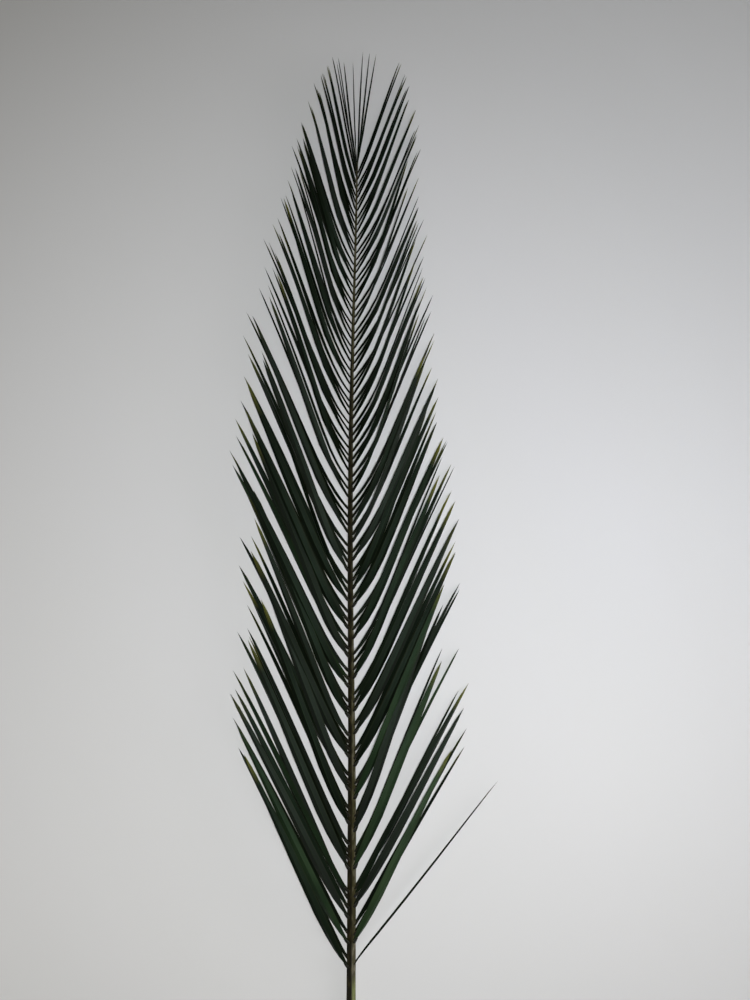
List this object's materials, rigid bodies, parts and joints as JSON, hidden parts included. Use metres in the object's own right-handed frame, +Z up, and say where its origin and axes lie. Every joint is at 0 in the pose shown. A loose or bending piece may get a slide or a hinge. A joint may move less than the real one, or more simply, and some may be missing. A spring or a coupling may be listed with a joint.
{
  "type": "preserved palm frond",
  "caption": "Preserved feather palm frond, lying flat: a slender arched stem with two rows of narrow, V-folded leaflets that sweep forward to a pointed outline, ending in a plain cut stem.",
  "frame": {"origin": "The middle of the flat spot under the stem, 40 mm from the cut end, on the surface that the frond lies on.", "axes": "+Y runs along the stem from the cut end to the tip, +X to the frond's right, and +Z up out of its upper side."},
  "size_m": [0.3229, 1.2014, 0.0408],
  "materials": {
    "leaflets": "satin",
    "stem": "satin",
    "cut_end": "matte"
  },
  "bodies": {
    "root": {"frond": "leaflets"}
  },
  "joints": []
}
